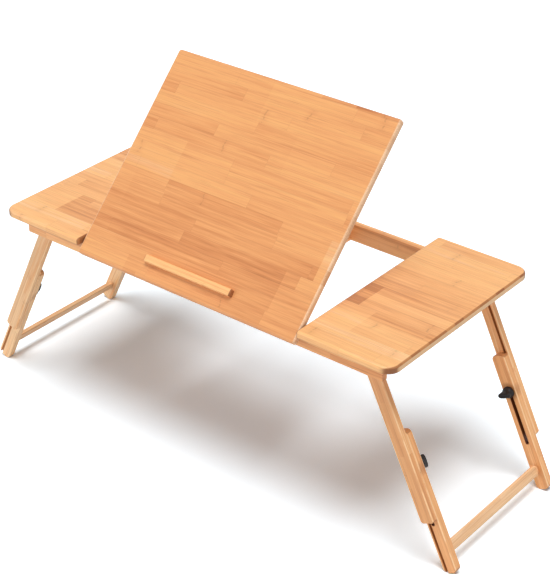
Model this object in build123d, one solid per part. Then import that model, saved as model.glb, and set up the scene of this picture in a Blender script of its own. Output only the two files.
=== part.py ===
from build123d import *
from math import asin, cos, degrees, radians, sin, sqrt
import os

# Folding bed table in bamboo: a centre panel that tilts between two fixed side panels, on a
# frame of two rails, with four legs that slide out to height and fold in under the top.
# Millimetres, +X to the right, +Y to the back, +Z up, floor at z = 0.

# Table top
top_length = 720.0
top_depth = 340.0
board_thickness = 10.5
side_panel_width = 157.0
panel_gap = 1.0
corner_radius = 20.0
seam_corner_radius = 4.2
top_edge_round = 3.8
bottom_edge_round = 1.5

# Rails under the top
rail_end_setback = 29.0
rail_thickness = 10.5
rail_height = 29.0
rail_setback = 22.0
rail_edge_round = 1.0

# Stop lip on the centre panel
lip_length = 160.0
lip_depth = 11.0
lip_height = 9.0
lip_setback = 24.7
lip_edge_round = 2.5

# Legs
leg_splay = 26.0
upper_leg_width = 22.5
upper_leg_thickness = 9.5
lower_leg_width = 22.5
lower_leg_thickness = 12.0
leg_edge_round = 1.2
leg_clearance = 0.3
leg_pivot_inset = 60.0
heel_clearance = 0.3
upper_leg_end = 243.0
upper_leg_chamfer = 3.0
lower_leg_start = 109.0
lower_leg_end = 325.0
lower_leg_top_round = 7.0
foot_round = 8.0
knob_distance = 166.0
leg_travel = 83.0
slot_width = 6.0
groove_width = 4.5
groove_offset = 5.8
groove_depth = 4.0
groove_start = 14.0

# Guide keys between the upper and lower legs
key_start = 200.0
key_length = 34.0
key_side_clearance = 0.15
key_depth_clearance = 0.3

# Crossbars between the front and back legs of one side
crossbar_distance = 292.0
crossbar_width = 16.0
crossbar_thickness = 7.5
crossbar_round = 2.0
neck_width = 11.0
neck_thickness = 5.5
neck_round = 1.5
neck_length = 4.0
tenon_length = 6.5

# Wing knobs that clamp the legs
stud_diameter = 5.0
stud_in_knob = 4.0
stud_in_leg = 7.0
hub_diameter = 17.5
hub_face_diameter = 15.5
hub_height = 5.5
hub_edge_round = 1.2
wing_length = 20.5
wing_root_length = 13.5
wing_thickness = 8.5
wing_height = 10.5
wing_corner_round = 3.0
wing_edge_round = 2.0
front_knob_turn = 0.0
back_knob_turn = 90.0
knob_washer_diameter = 16.0
knob_washer_thickness = 1.0

# Threaded inserts, for the knob studs and for the leg pivot bolts
insert_diameter = 8.0
insert_length = 8.0

# Leg pivot bolts
pivot_diameter = 6.0
pivot_thread_diameter = 5.0
pivot_thread_length = 7.5
pivot_head_diameter = 11.0
pivot_head_height = 3.0
pivot_washer_diameter = 12.0
pivot_washer_thickness = 1.0
pivot_play = 0.1
hex_socket_size = 4.0
hex_socket_depth = 1.8

# Butt hinges of the centre panel
tilt_angle = 46.0
hinge_inset = 52.0
hinge_length = 40.0
hinge_offset = 3.0
hinge_let_in = 2.0
seat_gap = 0.2
leaf_width = 14.0
leaf_thickness = 1.2
knuckle_diameter = 5.6
middle_knuckle_length = 15.0
knuckle_gap = 0.3
pin_diameter = 2.6
hinge_screw_reach = 8.7
hinge_screw_spacing = 13.0
hinge_screws_per_leaf = 3
recess_clearance = 0.3

# Wood screws
screw_diameter = 2.6
screw_head_diameter = 5.2
hinge_screw_length = 7.2
clip_screw_length = 8.0
clip_screw_head_height = 1.6

# Wire prop under the centre panel
wire_diameter = 5.0
prop_reach = 130.0
prop_arm_x = 72.0
prop_bend_radius = 6.0
prop_stub_length = 20.0
clip_thickness = 1.2
clip_width = 9.0
clip_foot_length = 8.5
clip_clearance = 0.1

# Racks that the foot of the prop drops into
rack_thickness = 10.0
rack_outer_x = 67.0
rack_top_gap = 0.5
rack_foot_clearance = 0.3
rack_step_angles = (46.0, 39.0, 32.0, 25.0, 17.0)
notch_diameter = 6.0
notch_depth = 3.5
crest_margin = 4.5

# Dowels and their glue
panel_dowel_diameter = 6.0
panel_dowel_in_panel = 6.0
panel_dowel_in_rail = 12.0
panel_dowel_inset = 16.0
panel_dowels_per_joint = 3
rack_dowel_diameter = 5.0
rack_dowel_in_rail = 6.0
rack_dowel_in_rack = 12.0
rack_dowel_spacing = 14.0
lip_dowel_diameter = 5.0
lip_dowel_in_panel = 6.0
lip_dowel_in_lip = 5.0
lip_dowel_spacing = 60.0
lip_dowel_count = 3
glue_line = 0.05
hole_bottom_gap = 0.2
running_fit = 0.05
cut_margin = 1.0

# Heights, worked out from the feet up
splay = radians(leg_splay)
tilt = radians(tilt_angle)
foot_drop = ((lower_leg_end - foot_round) * cos(splay)
             + (lower_leg_width / 2 - foot_round) * sin(splay) + foot_round)
pivot_z = foot_drop
underside_z = pivot_z + rail_height / 2
top_z = underside_z + board_thickness
rail_bottom_z = underside_z - rail_height

# Places across the table
rail_length = top_length - 2 * rail_end_setback
tilt_panel_width = top_length - 2 * (side_panel_width + panel_gap)
side_panel_x = (top_length - side_panel_width) / 2
leg_pivot_x = top_length / 2 - leg_pivot_inset
rail_outer_y = top_depth / 2 - rail_setback
rail_inner_y = rail_outer_y - rail_thickness
rail_middle_y = rail_outer_y - rail_thickness / 2
upper_outer_y = rail_inner_y - leg_clearance
upper_inner_y = upper_outer_y - upper_leg_thickness
lower_outer_y = upper_inner_y - leg_clearance
lower_inner_y = lower_outer_y - lower_leg_thickness
knob_seat_y = lower_inner_y - leg_clearance
hub_seat_y = knob_seat_y - knob_washer_thickness

# Hinge axis of the centre panel, with the panel's faces as it lies flat
hinge_x = tilt_panel_width / 2 - hinge_inset
hinge_y = -(rail_outer_y + hinge_offset - hinge_let_in)
panel_bottom_z = underside_z + seat_gap
panel_top_z = panel_bottom_z + board_thickness
hinge_z = panel_bottom_z - hinge_offset

# Prop pivot and foot with the panel tilted, the foot's height being the hinge's
prop_pivot_y = hinge_y + prop_reach * cos(tilt)
prop_pivot_z = hinge_z + prop_reach * sin(tilt)
prop_foot_y = hinge_y + 2 * prop_reach * cos(tilt)
flat_pivot_y = hinge_y + prop_reach
flat_foot_y = hinge_y + 2 * prop_reach
rack_crest_z = hinge_z - wire_diameter / 2 - rack_foot_clearance

# The origin lies midway between the tilted panel's front edge and the top's back edge
edge_back = top_depth / 2 + hinge_y - top_edge_round
edge_up = hinge_offset + board_thickness - top_edge_round
front_reach = -hinge_y + edge_back * cos(tilt) + edge_up * sin(tilt) + top_edge_round
frame_y = (front_reach - top_depth / 2) / 2


def block(low, high):
    """Box between its lowest and its highest corner."""
    size = [high[i] - low[i] for i in range(3)]
    middle = [(high[i] + low[i]) / 2 for i in range(3)]
    return Pos(*middle) * Box(*size)


def rod(diameter, start, end):
    """Round bar between two points."""
    run = Vector(*end) - Vector(*start)
    upright = (Align.CENTER, Align.CENTER, Align.MIN)
    return Plane(origin=start, z_dir=run) * Cylinder(diameter / 2, run.length, align=upright)


def tapered_rod(start_diameter, end_diameter, start, end):
    """Round bar between two points whose diameter changes from one end to the other."""
    run = Vector(*end) - Vector(*start)
    upright = (Align.CENTER, Align.CENTER, Align.MIN)
    solid = Cone(start_diameter / 2, end_diameter / 2, run.length, align=upright)
    return Plane(origin=start, z_dir=run) * solid


def evenly(count, spacing):
    """Offsets of a row that is centred on zero."""
    return [(i - (count - 1) / 2) * spacing for i in range(count)]


def on_side(solid, x_side, y_side=1):
    """Piece made for the right back corner, mirrored to the side that is asked for."""
    if x_side < 0:
        solid = mirror(solid, about=Plane.YZ)
    if y_side < 0:
        solid = mirror(solid, about=Plane.XZ)
    return solid


def tilted(solid):
    """Piece of the centre panel, made flat, turned up about the hinge axis."""
    return solid.rotate(Axis((0, hinge_y, hinge_z), (1, 0, 0)), tilt_angle)


def leg_plane(y):
    """Plane across the right back leg: x down the leg from its pivot, y to the table's middle."""
    down_leg = (sin(splay), 0, -cos(splay))
    return Plane(origin=(leg_pivot_x, y, pivot_z), x_dir=down_leg, z_dir=(0, 1, 0))


def leg_point(distance, y):
    """Point on the leg's middle line at a distance from its pivot."""
    return (leg_pivot_x + distance * sin(splay), y, pivot_z - distance * cos(splay))


def board(width, outer_radius, x_middle, z_bottom):
    """Board of the top with rounded edges; the corners at its right end get outer_radius."""
    outline = Rectangle(width, top_depth)
    outline = fillet(outline.vertices().group_by(Axis.X)[-1], outer_radius)
    outline = fillet(outline.vertices().group_by(Axis.X)[0], seam_corner_radius)
    solid = extrude(outline, board_thickness)
    solid = fillet(solid.edges().group_by(Axis.Z)[-1], top_edge_round)
    solid = fillet(solid.edges().group_by(Axis.Z)[0], bottom_edge_round)
    return Pos(x_middle, 0, z_bottom) * solid


def panel_dowel_places():
    """X of the dowels that hold the right side panel on a rail."""
    first = top_length / 2 - side_panel_width + panel_dowel_inset
    last = rail_length / 2 - panel_dowel_inset
    step = (last - first) / (panel_dowels_per_joint - 1)
    return [first + i * step for i in range(panel_dowels_per_joint)]


def panel_dowel(x, y, slack=0.0):
    """Dowel between a rail and a side panel, or with slack its hole."""
    bottom = underside_z - panel_dowel_in_rail
    top = underside_z + panel_dowel_in_panel
    ends = hole_bottom_gap if slack else 0.0
    return rod(panel_dowel_diameter + 2 * slack, (x, y, bottom - ends), (x, y, top + ends))


def side_panel():
    """Right side panel, with the dowel holes in its underside."""
    solid = board(side_panel_width, corner_radius, side_panel_x, underside_z)
    for x in panel_dowel_places():
        for y_side in (-1, 1):
            solid -= panel_dowel(x, y_side * rail_middle_y, glue_line)
    return solid


def tilt_panel():
    """Centre panel, made flat, with its screw holes and the holes of the lip's dowels."""
    solid = board(tilt_panel_width, seam_corner_radius, 0, panel_bottom_z)
    for x in evenly(lip_dowel_count, lip_dowel_spacing):
        solid -= lip_dowel(x, glue_line)
    for x_side in (-1, 1):
        for hole in panel_leaf_screws(glue_line) + clip_screws(glue_line):
            solid -= on_side(hole, x_side)
    return solid


def lip_middle_y():
    """Y of the lip's middle line on the flat panel."""
    return -top_depth / 2 + lip_setback + lip_depth / 2


def lip_dowel(x, slack=0.0):
    """Dowel between the centre panel and the lip, or with slack its hole."""
    y = lip_middle_y()
    ends = hole_bottom_gap if slack else 0.0
    bottom = panel_top_z - lip_dowel_in_panel - ends
    top = panel_top_z + lip_dowel_in_lip + ends
    return rod(lip_dowel_diameter + 2 * slack, (x, y, bottom), (x, y, top))


def stop_lip():
    """Lip on the centre panel, rounded along its top and at its ends."""
    y = lip_middle_y()
    solid = Pos(0, y, panel_top_z + lip_height / 2) * Box(lip_length, lip_depth, lip_height)
    solid = fillet(solid.edges().filter_by(Axis.Z), lip_edge_round)
    solid = fillet(solid.edges().group_by(Axis.Z)[-1], lip_edge_round)
    for x in evenly(lip_dowel_count, lip_dowel_spacing):
        solid -= lip_dowel(x, glue_line)
    return solid


def back_rail():
    """Back rail, with the holes of its dowels and of the leg pivot inserts."""
    low = (-rail_length / 2, rail_inner_y, rail_bottom_z)
    high = (rail_length / 2, rail_outer_y, underside_z)
    solid = block(low, high)
    solid = fillet(solid.edges().filter_by(Axis.X), rail_edge_round)
    for x_side in (-1, 1):
        for x in panel_dowel_places():
            solid -= panel_dowel(x_side * x, rail_middle_y, glue_line)
        for hole in rack_dowels(glue_line):
            solid -= on_side(hole, x_side)
        start = (x_side * leg_pivot_x, rail_inner_y - cut_margin, pivot_z)
        end = (x_side * leg_pivot_x, rail_inner_y + insert_length + hole_bottom_gap, pivot_z)
        solid -= rod(insert_diameter + 2 * glue_line, start, end)
    return solid


def front_rail():
    """Front rail: the back rail mirrored, with the hinge leaves let into its outer face."""
    solid = on_side(back_rail(), 1, -1)
    half = hinge_length / 2 + recess_clearance
    low = (hinge_x - half, -rail_outer_y - cut_margin, hinge_z - leaf_width - recess_clearance)
    high = (hinge_x + half, -rail_outer_y + hinge_let_in, underside_z + cut_margin)
    for x_side in (-1, 1):
        solid -= on_side(block(low, high), x_side)
        for hole in rail_leaf_screws(glue_line):
            solid -= on_side(hole, x_side)
    return solid


def prop_rack():
    """Right rack, low along the way of the prop's foot, with a notch for each step of the tilt."""
    inner_x = rack_outer_x - rack_thickness
    top = panel_bottom_z - rack_top_gap
    solid = block((inner_x, -rail_inner_y, rail_bottom_z), (rack_outer_x, rail_inner_y, top))
    crest_low = (inner_x - cut_margin, prop_foot_y - notch_diameter - crest_margin, rack_crest_z)
    crest_high = (rack_outer_x + cut_margin, flat_foot_y + crest_margin, top + cut_margin)
    solid -= block(crest_low, crest_high)
    notch_z = rack_crest_z - notch_depth + notch_diameter / 2
    for angle in rack_step_angles:
        y = hinge_y + 2 * prop_reach * cos(radians(angle))
        start = (inner_x - cut_margin, y, notch_z)
        end = (rack_outer_x + cut_margin, y, notch_z)
        solid -= rod(notch_diameter, start, end)
    for y_side in (-1, 1):
        for hole in rack_dowels(glue_line):
            solid -= on_side(hole, 1, y_side)
    return solid


def rack_dowels(slack=0.0):
    """Two dowels between the right rack and the back rail, or with slack their holes."""
    x = rack_outer_x - rack_thickness / 2
    ends = hole_bottom_gap if slack else 0.0
    start_y = rail_inner_y - rack_dowel_in_rack - ends
    end_y = rail_inner_y + rack_dowel_in_rail + ends
    size = rack_dowel_diameter + 2 * slack
    levels = [pivot_z + offset for offset in evenly(2, rack_dowel_spacing)]
    return [rod(size, (x, start_y, z), (x, end_y, z)) for z in levels]


def flat_screw(seat, way, length, slack=0.0):
    """Countersunk screw from its head's face along a direction, or with slack its hole."""
    seat = Vector(*seat)
    way = Vector(*way)
    neck = seat + way * leaf_thickness
    tip = seat + way * (length + (hole_bottom_gap if slack else 0.0))
    head = tapered_rod(screw_head_diameter + 2 * slack, screw_diameter + 2 * slack, seat, neck)
    return head + rod(screw_diameter + 2 * slack, neck, tip)


def rail_leaf_screws(slack=0.0):
    """Screws of the right hinge into the front rail."""
    y = hinge_y + hinge_offset - leaf_thickness
    z = hinge_z - hinge_screw_reach
    row = evenly(hinge_screws_per_leaf, hinge_screw_spacing)
    return [flat_screw((hinge_x + dx, y, z), (0, 1, 0), hinge_screw_length, slack) for dx in row]


def panel_leaf_screws(slack=0.0):
    """Screws of the right hinge into the centre panel, which lies flat."""
    y = hinge_y - hinge_screw_reach
    z = panel_bottom_z - leaf_thickness
    row = evenly(hinge_screws_per_leaf, hinge_screw_spacing)
    return [flat_screw((hinge_x + dx, y, z), (0, 0, 1), hinge_screw_length, slack) for dx in row]


def knuckle(x_low, x_high):
    """Barrel of a hinge leaf on the hinge axis."""
    return rod(knuckle_diameter, (x_low, hinge_y, hinge_z), (x_high, hinge_y, hinge_z))


def pin_bore():
    """Bore through all barrels of the right hinge."""
    half = hinge_length / 2 + cut_margin
    start = (hinge_x - half, hinge_y, hinge_z)
    end = (hinge_x + half, hinge_y, hinge_z)
    return rod(pin_diameter + 2 * running_fit, start, end)


def rail_leaf():
    """Right hinge leaf on the rail, with the two outer barrels."""
    half = hinge_length / 2
    inner = middle_knuckle_length / 2 + knuckle_gap
    wood_y = hinge_y + hinge_offset
    low = (hinge_x - half, wood_y - leaf_thickness, hinge_z - leaf_width)
    solid = block(low, (hinge_x + half, wood_y, hinge_z))
    room = knuckle_diameter / 2 + knuckle_gap
    notch_low = (hinge_x - inner, hinge_y - room, hinge_z - room)
    solid -= block(notch_low, (hinge_x + inner, wood_y + cut_margin, hinge_z + room))
    solid += knuckle(hinge_x - half, hinge_x - inner)
    solid += knuckle(hinge_x + inner, hinge_x + half)
    solid -= pin_bore()
    for hole in rail_leaf_screws(glue_line):
        solid -= hole
    return solid


def panel_leaf():
    """Right hinge leaf under the flat centre panel, with the middle barrel."""
    half = hinge_length / 2
    middle = middle_knuckle_length / 2
    inner = middle + knuckle_gap
    low = (hinge_x - half, hinge_y - leaf_width, panel_bottom_z - leaf_thickness)
    solid = block(low, (hinge_x + half, hinge_y, panel_bottom_z))
    room = knuckle_diameter / 2 + knuckle_gap
    for x_low, x_high in ((-half - cut_margin, -middle), (middle, half + cut_margin)):
        notch_low = (hinge_x + x_low, hinge_y - room, hinge_z)
        solid -= block(notch_low, (hinge_x + x_high, hinge_y + room, panel_bottom_z + cut_margin))
    solid += knuckle(hinge_x - middle, hinge_x + middle)
    solid -= pin_bore()
    for hole in panel_leaf_screws(glue_line):
        solid -= hole
    return solid


def hinge_pin():
    """Pin of the right hinge."""
    half = hinge_length / 2
    start = (hinge_x - half, hinge_y, hinge_z)
    end = (hinge_x + half, hinge_y, hinge_z)
    return rod(pin_diameter, start, end)


def prop_wire():
    """Bent wire with its foot across the racks and its two ends turned out into the clips."""
    stub_end = prop_arm_x + prop_stub_length
    corners = [(stub_end, prop_pivot_y, prop_pivot_z), (prop_arm_x, prop_pivot_y, prop_pivot_z),
               (prop_arm_x, prop_foot_y, hinge_z)]
    corners += [(-x, y, z) for x, y, z in reversed(corners)]
    path = FilletPolyline(*corners, radius=prop_bend_radius)
    section = Plane(origin=corners[0], z_dir=(-1, 0, 0)) * Circle(wire_diameter / 2)
    return sweep(section, path=path)


def clip_x():
    """X of the middle of the right clip."""
    return prop_arm_x + prop_bend_radius + (prop_stub_length - prop_bend_radius) / 2


def clip_screw_offset():
    """Distance of a clip's screws from the prop's pivot, along the panel."""
    return wire_diameter / 2 + clip_clearance + clip_thickness + clip_foot_length / 2


def clip_bar(radius, half):
    """Round bar along the prop's pivot under the flat panel, half its length either way."""
    start = (clip_x() - half, flat_pivot_y, hinge_z)
    return rod(2 * radius, start, (clip_x() + half, flat_pivot_y, hinge_z))


def clip_block(reach, half, low_z, high_z):
    """Block about the prop's pivot under the flat panel, reaching equally far either way."""
    low = (clip_x() - half, flat_pivot_y - reach, low_z)
    return block(low, (clip_x() + half, flat_pivot_y + reach, high_z))


def prop_clip():
    """Right saddle clip over the prop's end, under the flat centre panel."""
    bore = wire_diameter / 2 + clip_clearance
    shell = bore + clip_thickness
    foot = shell + clip_foot_length
    half = clip_width / 2
    foot_z = panel_bottom_z - clip_thickness
    solid = clip_bar(shell, half)
    solid += clip_block(shell, half, hinge_z, panel_bottom_z)
    solid += clip_block(foot, half, foot_z, panel_bottom_z)
    solid -= clip_bar(bore, half + cut_margin)
    solid -= clip_block(bore, half + cut_margin, hinge_z, panel_bottom_z + cut_margin)
    solid -= clip_block(foot + cut_margin, half + cut_margin, panel_bottom_z, panel_bottom_z + shell)
    for hole in clip_screws(glue_line):
        solid -= hole
    return solid


def clip_screws(slack=0.0):
    """Two round-headed screws of the right clip, or with slack their holes."""
    seat_z = panel_bottom_z - clip_thickness
    tip_z = seat_z + clip_screw_length + (hole_bottom_gap if slack else 0.0)
    screws = []
    for side in (-1, 1):
        y = flat_pivot_y + side * clip_screw_offset()
        shank = rod(screw_diameter + 2 * slack, (clip_x(), y, seat_z - slack), (clip_x(), y, tip_z))
        if slack:
            screws.append(shank)
            continue
        head_z = seat_z - clip_screw_head_height
        screws.append(shank + rod(screw_head_diameter, (clip_x(), y, head_z), (clip_x(), y, seat_z)))
    return screws


def softened(solid, radius):
    """Leg board with the edges of its two broad faces rounded."""
    faces = solid.faces().sort_by(Axis.Y)
    return fillet(faces[0].edges() + faces[-1].edges(), radius)


def along_groove(y_from, y_to, start, end, width, hand):
    """Bar along a leg's groove, which lies off its middle: away from the table's for hand 1."""
    place = Pos((start + end) / 2, -hand * groove_offset, (y_to - y_from) / 2)
    return leg_plane(y_from) * place * Box(end - start, width, y_to - y_from)


def upper_leg(hand):
    """Right back upper leg; its heel meets the side panel when the leg stands splayed."""
    half = upper_leg_width / 2
    heel = rail_height / 2 - heel_clearance
    inner_angle = 180 - degrees(asin(half / heel))
    heel_arc = CenterArc((0, 0), heel, inner_angle, 180 + leg_splay - inner_angle)
    flat_start = (-heel * cos(splay), -heel * sin(splay))
    flat_length = (half - heel * sin(splay)) / cos(splay)
    edge = upper_leg_end - upper_leg_chamfer
    side = half - upper_leg_chamfer
    rest = Polyline(flat_start, (flat_start[0] + flat_length * sin(splay), -half), (edge, -half),
                    (upper_leg_end, -side), (upper_leg_end, side), (edge, half),
                    (-sqrt(heel ** 2 - half ** 2), half))
    outline = make_face([*heel_arc.edges(), *rest.edges()])
    solid = extrude(leg_plane(upper_inner_y) * outline, upper_leg_thickness, dir=(0, 1, 0))
    solid = softened(solid, leg_edge_round)
    groove_low = upper_inner_y - cut_margin
    groove_high = upper_inner_y + groove_depth
    groove_end = upper_leg_end + cut_margin
    solid -= along_groove(groove_low, groove_high, groove_start, groove_end, groove_width, hand)
    pivot_start = leg_point(0, upper_inner_y - cut_margin)
    pivot_end = leg_point(0, upper_outer_y + cut_margin)
    solid -= rod(pivot_diameter + 2 * running_fit, pivot_start, pivot_end)
    insert_end = leg_point(knob_distance, upper_inner_y + insert_length + hole_bottom_gap)
    insert_start = leg_point(knob_distance, upper_inner_y - cut_margin)
    solid -= rod(insert_diameter + 2 * glue_line, insert_start, insert_end)
    return solid


def lower_leg(hand):
    """Right back lower leg, with its slot, its groove and the crossbar's mortise."""
    length = lower_leg_end - lower_leg_start
    outline = Pos((lower_leg_start + lower_leg_end) / 2, 0) * Rectangle(length, lower_leg_width)
    outline = fillet(outline.vertices().group_by(Axis.X)[0], lower_leg_top_round)
    outline = fillet(outline.vertices().group_by(Axis.X)[-1], foot_round)
    solid = extrude(leg_plane(lower_inner_y) * outline, lower_leg_thickness, dir=(0, 1, 0))
    solid = softened(solid, leg_edge_round)
    slot = Pos(knob_distance + leg_travel / 2, 0) * SlotCenterToCenter(leg_travel, slot_width)
    through = lower_leg_thickness + 2 * cut_margin
    solid -= extrude(leg_plane(lower_inner_y - cut_margin) * slot, through, dir=(0, 1, 0))
    groove_low = lower_outer_y - groove_depth
    groove_high = lower_outer_y + cut_margin
    groove_from = lower_leg_start - cut_margin
    groove_end = lower_leg_end + cut_margin
    solid -= along_groove(groove_low, groove_high, groove_from, groove_end, groove_width, hand)
    wide = neck_width + 2 * glue_line
    mortise = RectangleRounded(wide, neck_thickness + 2 * glue_line, neck_round + glue_line)
    mortise = leg_plane(lower_inner_y - cut_margin) * Pos(crossbar_distance, 0) * mortise
    solid -= extrude(mortise, tenon_length + hole_bottom_gap + cut_margin, dir=(0, 1, 0))
    return solid


def crossbar():
    """Right crossbar, with a thinner neck and tenon at each end."""
    end_y = lower_inner_y + tenon_length
    bar_y = lower_inner_y - neck_length
    place = Pos(crossbar_distance, 0)
    bar = place * RectangleRounded(crossbar_width, crossbar_thickness, crossbar_round)
    neck = place * RectangleRounded(neck_width, neck_thickness, neck_round)
    solid = extrude(leg_plane(-end_y) * neck, 2 * end_y, dir=(0, 1, 0))
    return solid + extrude(leg_plane(-bar_y) * bar, 2 * bar_y, dir=(0, 1, 0))


def guide_key(hand):
    """Right back guide key, glued in the upper leg's groove and free in the lower leg's."""
    low = lower_outer_y - groove_depth + key_depth_clearance
    high = upper_inner_y + groove_depth - glue_line
    width = groove_width - 2 * key_side_clearance
    return along_groove(low, high, key_start, key_start + key_length, width, hand)


def insert(distance, face_y, bore):
    """Threaded insert on the right back leg's line, from a face towards the back."""
    end_y = face_y + insert_length
    solid = rod(insert_diameter, leg_point(distance, face_y), leg_point(distance, end_y))
    cut_start = leg_point(distance, face_y - cut_margin)
    return solid - rod(bore, cut_start, leg_point(distance, end_y + cut_margin))


def washer(distance, low_y, thickness, diameter, bore):
    """Washer on the right back leg's line."""
    high_y = low_y + thickness
    solid = rod(diameter, leg_point(distance, low_y), leg_point(distance, high_y))
    cut_start = leg_point(distance, low_y - cut_margin)
    return solid - rod(bore, cut_start, leg_point(distance, high_y + cut_margin))


def pivot_bolt():
    """Right back pivot bolt, with a socket in its head and its thread in the rail's insert."""
    head_high = upper_inner_y - pivot_play - pivot_washer_thickness
    head_low = head_high - pivot_head_height
    solid = rod(pivot_head_diameter, leg_point(0, head_low), leg_point(0, head_high))
    solid += rod(pivot_diameter, leg_point(0, head_high), leg_point(0, rail_inner_y))
    thread_end = leg_point(0, rail_inner_y + pivot_thread_length)
    solid += rod(pivot_thread_diameter, leg_point(0, rail_inner_y), thread_end)
    socket = RegularPolygon(hex_socket_size / 2, 6, major_radius=False)
    return solid - extrude(leg_plane(head_low) * socket, hex_socket_depth, dir=(0, 1, 0))


def knob_stud():
    """Stud of the right back knob, through the lower leg's slot into the upper leg's insert."""
    start = leg_point(knob_distance, hub_seat_y - stud_in_knob)
    return rod(stud_diameter, start, leg_point(knob_distance, upper_inner_y + stud_in_leg))


def wing_knob(turn):
    """Right back knob: a round hub and a widening wing, turned by an angle from the leg's line."""
    hub_face_y = hub_seat_y - hub_height
    hub_face = leg_point(knob_distance, hub_face_y)
    hub_seat = leg_point(knob_distance, hub_seat_y)
    hub = tapered_rod(hub_face_diameter, hub_diameter, hub_face, hub_seat)
    hub = fillet(hub.edges().sort_by(Axis.Y)[0], hub_edge_round)
    root = wing_root_length / 2
    tip = wing_length / 2
    outline = Polygon((-root, -hub_height / 2), (root, -hub_height / 2), (root, 0), (tip, wing_height),
                      (-tip, wing_height), (-root, 0), align=None)
    outline = fillet(outline.vertices().group_by(Axis.Y)[-1], wing_corner_round)
    heading = splay + radians(turn)
    along_wing = (sin(heading), 0, -cos(heading))
    across_wing = (-cos(heading), 0, -sin(heading))
    seat = Plane(origin=hub_face, x_dir=along_wing, z_dir=across_wing)
    wing = extrude(seat * outline, wing_thickness / 2, both=True)
    wing_faces = wing.faces().sort_by(Axis(seat.origin, seat.z_dir))
    wing = fillet(wing_faces[0].edges() + wing_faces[-1].edges(), wing_edge_round)
    bore_start = leg_point(knob_distance, hub_seat_y - stud_in_knob - hole_bottom_gap)
    bore_end = leg_point(knob_distance, hub_seat_y + cut_margin)
    return hub + wing - rod(stud_diameter + 2 * glue_line, bore_start, bore_end)


def table_pieces():
    """Every node's solids by name, in the frame whose y = 0 is the middle of the top."""
    sides = {"left": -1, "right": 1}
    ends = {"front": -1, "back": 1}
    knob_turns = {"front": front_knob_turn, "back": back_knob_turn}
    pieces = {
        "tilt_panel": [tilted(tilt_panel())],
        "stop_lip": [tilted(stop_lip())],
        "front_rail": [front_rail()],
        "back_rail": [back_rail()],
        "prop_wire": [prop_wire()],
        "panel_dowels": [], "rack_dowels": [], "hinge_pins": [], "hinge_rail_screws": [],
        "hinge_panel_screws": [], "prop_clip_screws": [], "leg_pivot_bolts": [],
        "leg_pivot_washers": [], "leg_pivot_inserts": [],
    }
    lip_row = evenly(lip_dowel_count, lip_dowel_spacing)
    pieces["lip_dowels"] = [tilted(lip_dowel(x)) for x in lip_row]
    stud_bore = stud_diameter + 2 * running_fit
    for side, x_side in sides.items():
        pieces[f"side_panel_{side}"] = [on_side(side_panel(), x_side)]
        pieces[f"prop_rack_{side}"] = [on_side(prop_rack(), x_side)]
        pieces[f"hinge_rail_leaf_{side}"] = [on_side(rail_leaf(), x_side)]
        pieces[f"hinge_panel_leaf_{side}"] = [tilted(on_side(panel_leaf(), x_side))]
        pieces[f"prop_clip_{side}"] = [tilted(on_side(prop_clip(), x_side))]
        pieces[f"crossbar_{side}"] = [on_side(crossbar(), x_side)]
        pieces["hinge_pins"].append(on_side(hinge_pin(), x_side))
        pieces["hinge_rail_screws"] += [on_side(one, x_side) for one in rail_leaf_screws()]
        pieces["hinge_panel_screws"] += [tilted(on_side(one, x_side)) for one in panel_leaf_screws()]
        pieces["prop_clip_screws"] += [tilted(on_side(one, x_side)) for one in clip_screws()]
        pieces[f"guide_keys_{side}"] = []
        pieces[f"knob_inserts_{side}"] = []
        for end, y_side in ends.items():
            corner = f"{end}_{side}"
            hand = x_side * y_side
            dowels = [panel_dowel(x, rail_middle_y) for x in panel_dowel_places()]
            pieces["panel_dowels"] += [on_side(one, x_side, y_side) for one in dowels]
            pieces["rack_dowels"] += [on_side(one, x_side, y_side) for one in rack_dowels()]
            pieces[f"upper_leg_{corner}"] = [on_side(upper_leg(hand), x_side, y_side)]
            pieces[f"lower_leg_{corner}"] = [on_side(lower_leg(hand), x_side, y_side)]
            pieces[f"guide_keys_{side}"].append(on_side(guide_key(hand), x_side, y_side))
            knob_nut = insert(knob_distance, upper_inner_y, stud_bore)
            pieces[f"knob_inserts_{side}"].append(on_side(knob_nut, x_side, y_side))
            pieces[f"knob_{corner}"] = [on_side(wing_knob(knob_turns[end]), x_side, y_side)]
            pieces[f"knob_stud_{corner}"] = [on_side(knob_stud(), x_side, y_side)]
            knob_ring = washer(knob_distance, hub_seat_y, knob_washer_thickness,
                               knob_washer_diameter, stud_bore)
            pieces[f"knob_washer_{corner}"] = [on_side(knob_ring, x_side, y_side)]
            pieces["leg_pivot_bolts"].append(on_side(pivot_bolt(), x_side, y_side))
            ring_y = upper_inner_y - pivot_play - pivot_washer_thickness
            pivot_ring = washer(0, ring_y, pivot_washer_thickness, pivot_washer_diameter,
                                pivot_diameter + 2 * running_fit)
            pieces["leg_pivot_washers"].append(on_side(pivot_ring, x_side, y_side))
            nut = insert(0, rail_inner_y, pivot_thread_diameter + 2 * running_fit)
            pieces["leg_pivot_inserts"].append(on_side(nut, x_side, y_side))
    return pieces


def write_pieces():
    """One STEP file for each node, with the origin under the middle of the whole table."""
    os.makedirs("parts", exist_ok=True)
    for name, shapes in table_pieces().items():
        solids = [Pos(0, frame_y, 0) * one for shape in shapes for one in shape.solids()]
        node = solids[0] if len(solids) == 1 else Compound(solids)
        export_step(node, f"parts/{name}.step")
    print(f"top height {top_z:.1f} mm, origin moved {frame_y:.2f} mm, hinge z {hinge_z:.2f} mm")


write_pieces()
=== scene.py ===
import math

import bpy
import numpy as np
from mathutils import Euler, Matrix, Vector


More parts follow.
